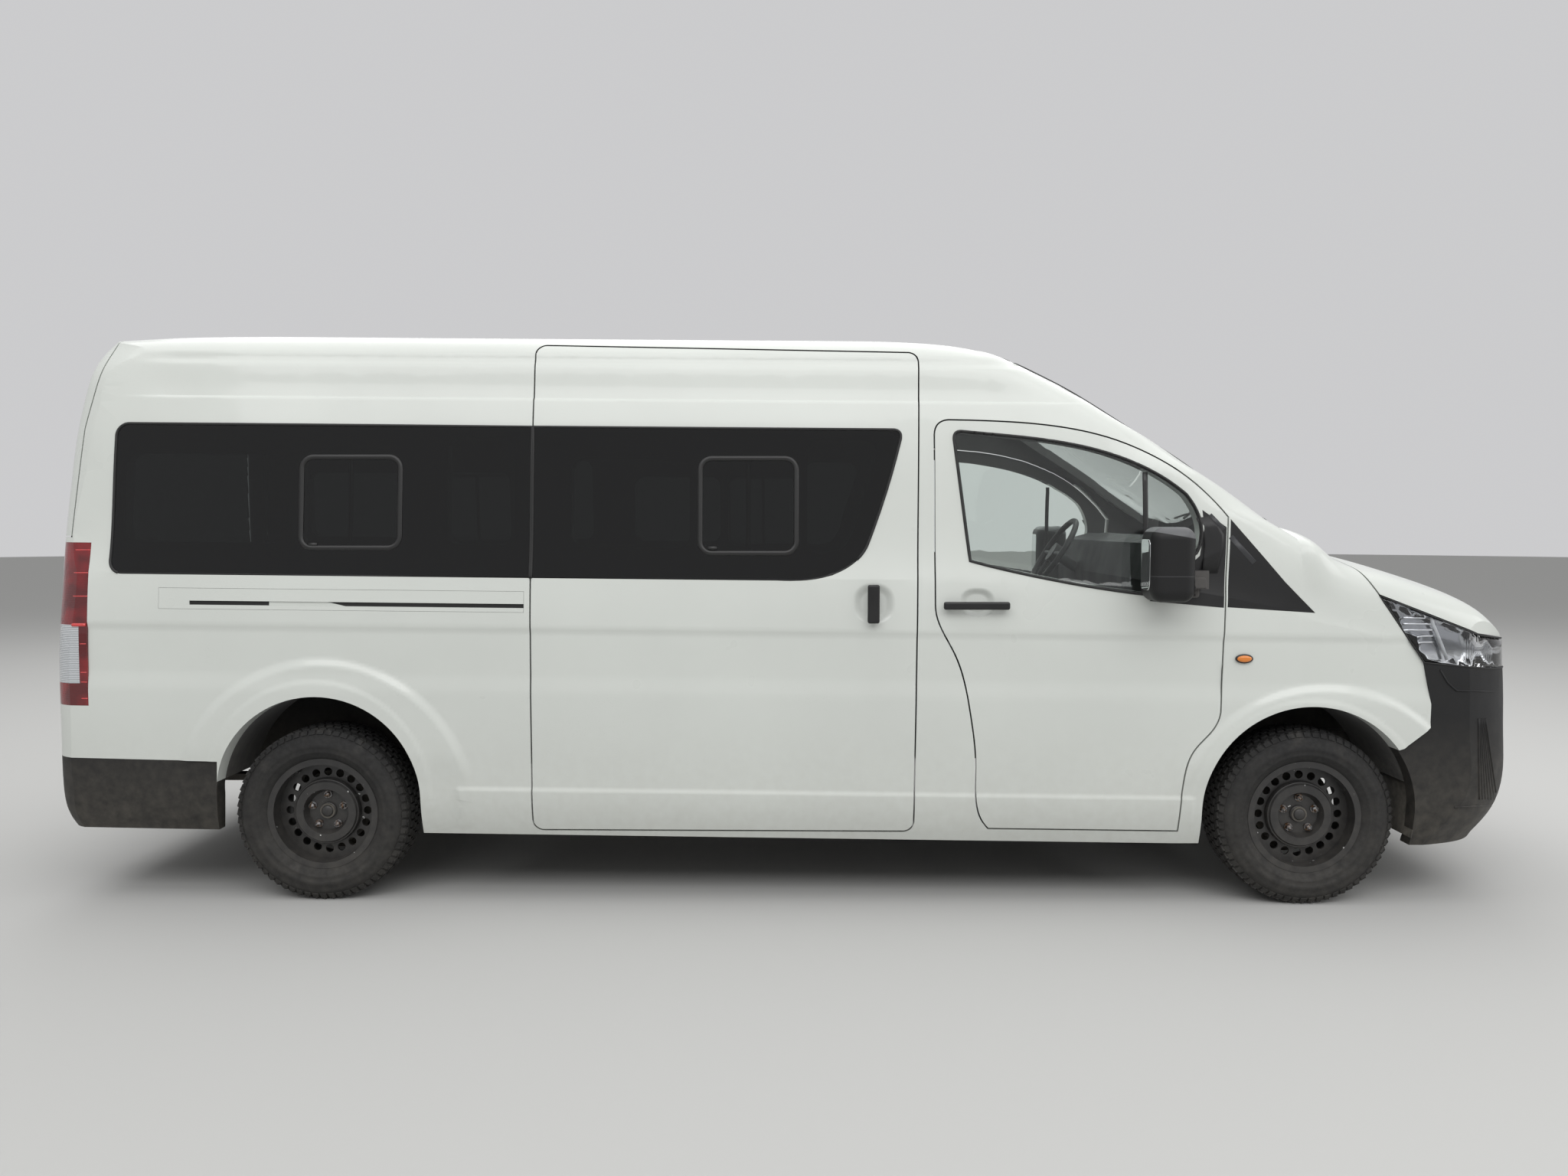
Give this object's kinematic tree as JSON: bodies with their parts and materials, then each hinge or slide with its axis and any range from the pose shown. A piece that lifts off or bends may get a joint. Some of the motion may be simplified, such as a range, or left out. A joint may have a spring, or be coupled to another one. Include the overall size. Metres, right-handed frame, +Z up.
{
  "type": "minibus",
  "caption": "White long-wheelbase minibus with a short sloping nose, dark flush side windows, a sliding side door, a lifting back door, black bumpers and black steel wheels with round holes.",
  "frame": {"origin": "on the ground, on the centre line, midway between the tip of the nose and the tail", "axes": "+X towards the front of the bus, +Y towards its left side, +Z up"},
  "size_m": [5.9204, 2.3266, 2.3004],
  "materials": {
    "body_white": "gloss",
    "trim_black": "satin",
    "dark_glass": "gloss",
    "clear_glass": "gloss",
    "lamp_clear": "gloss",
    "lamp_red": "gloss",
    "tyre_rubber": "matte",
    "wheel_black": "satin",
    "chassis": "matte",
    "bare_steel": "satin",
    "floor_grey": "matte",
    "seat_cloth": "matte",
    "dash_grey": "matte"
  },
  "bodies": {
    "root": {"side_panel_right": "body_white", "side_panel_left": "body_white", "roof_panel": "body_white", "cowl_and_plates": "trim_black", "headlamps": "lamp_clear", "tail_lamps": "lamp_red", "front_bumper": "trim_black", "grille": "trim_black", "rear_bumper": "trim_black", "windshield": "clear_glass", "sliding_door": "body_white", "side_windows": "dark_glass", "track_cover": "body_white", "sliding_door_handle": "trim_black", "floor_pan": "floor_grey", "arch_liners": "trim_black", "chassis_rails": "chassis", "engine_block": "chassis", "front_suspension": "chassis", "rear_axle": "chassis", "leaf_springs": "chassis", "tank_and_exhaust": "bare_steel", "front_seats": "seat_cloth", "benches": "seat_cloth", "dashboard": "dash_grey", "fender_right": "body_white", "fender_left": "body_white"},
    "bonnet": {"bonnet": "body_white"},
    "back_door": {"back_door": "body_white", "back_door_glass": "dark_glass"},
    "steering_wheel": {"steering_wheel": "dash_grey"},
    "front_door_right": {"front_door_right": "body_white", "front_door_glass_right": "clear_glass", "door_fittings_right": "trim_black"},
    "knuckle_right": {"knuckle_right": "chassis"},
    "front_door_left": {"front_door_left": "body_white", "front_door_glass_left": "clear_glass", "door_fittings_left": "trim_black"},
    "knuckle_left": {"knuckle_left": "chassis"},
    "wheel_front_right": {"tyre_front_right": "tyre_rubber", "rim_front_right": "wheel_black"},
    "wheel_front_left": {"tyre_front_left": "tyre_rubber", "rim_front_left": "wheel_black"},
    "wheel_rear_right": {"tyre_rear_right": "tyre_rubber", "rim_rear_right": "wheel_black"},
    "wheel_rear_left": {"tyre_rear_left": "tyre_rubber", "rim_rear_left": "wheel_black"}
  },
  "joints": [
    {"name": "steer_right", "type": "hinge", "parent": "root", "child": "knuckle_right", "pos_m": [2.0025, -0.745, 0.345], "axis": [0, 0, 1], "range_deg": [-35, 35]},
    {"name": "steer_left", "type": "hinge", "parent": "root", "child": "knuckle_left", "pos_m": [2.0025, 0.745, 0.345], "axis": [0, 0, 1], "range_deg": [-35, 35]},
    {"name": "spin_front_right", "type": "hinge", "parent": "knuckle_right", "child": "wheel_front_right", "pos_m": [2.0025, -0.8375, 0.345], "axis": [0, 1, 0], "continuous": true},
    {"name": "spin_rear_right", "type": "hinge", "parent": "root", "child": "wheel_rear_right", "pos_m": [-1.8575, -0.8375, 0.345], "axis": [0, 1, 0], "continuous": true},
    {"name": "spin_front_left", "type": "hinge", "parent": "knuckle_left", "child": "wheel_front_left", "pos_m": [2.0025, 0.8375, 0.345], "axis": [0, 1, 0], "continuous": true},
    {"name": "spin_rear_left", "type": "hinge", "parent": "root", "child": "wheel_rear_left", "pos_m": [-1.8575, 0.8375, 0.345], "axis": [0, 1, 0], "continuous": true},
    {"name": "front_door_right_hinge", "type": "hinge", "parent": "root", "child": "front_door_right", "pos_m": [1.7, -0.972, 1], "axis": [0, 0, 1], "range_deg": [0, 70]},
    {"name": "front_door_left_hinge", "type": "hinge", "parent": "root", "child": "front_door_left", "pos_m": [1.7, 0.972, 1], "axis": [0, 0, -1], "range_deg": [0, 70]},
    {"name": "back_door_hinge", "type": "hinge", "parent": "root", "child": "back_door", "pos_m": [-2.715, 0, 2.3], "axis": [0, 1, 0], "range_deg": [0, 85]},
    {"name": "bonnet_hinge", "type": "hinge", "parent": "root", "child": "bonnet", "pos_m": [2.086, 0, 1.39414], "axis": [0, -1, 0], "range_deg": [0, 50]},
    {"name": "steering_turn", "type": "hinge", "parent": "root", "child": "steering_wheel", "pos_m": [1.3, 0.43, 1.346], "axis": [-0.8387, 0, 0.5446], "range_deg": [-525, 525]}
  ],
  "couplings": [
    {"joint": "steer_left", "follows": "steer_right", "ratio": 1},
    {"joint": "steering_turn", "follows": "steer_right", "ratio": 15}
  ]
}
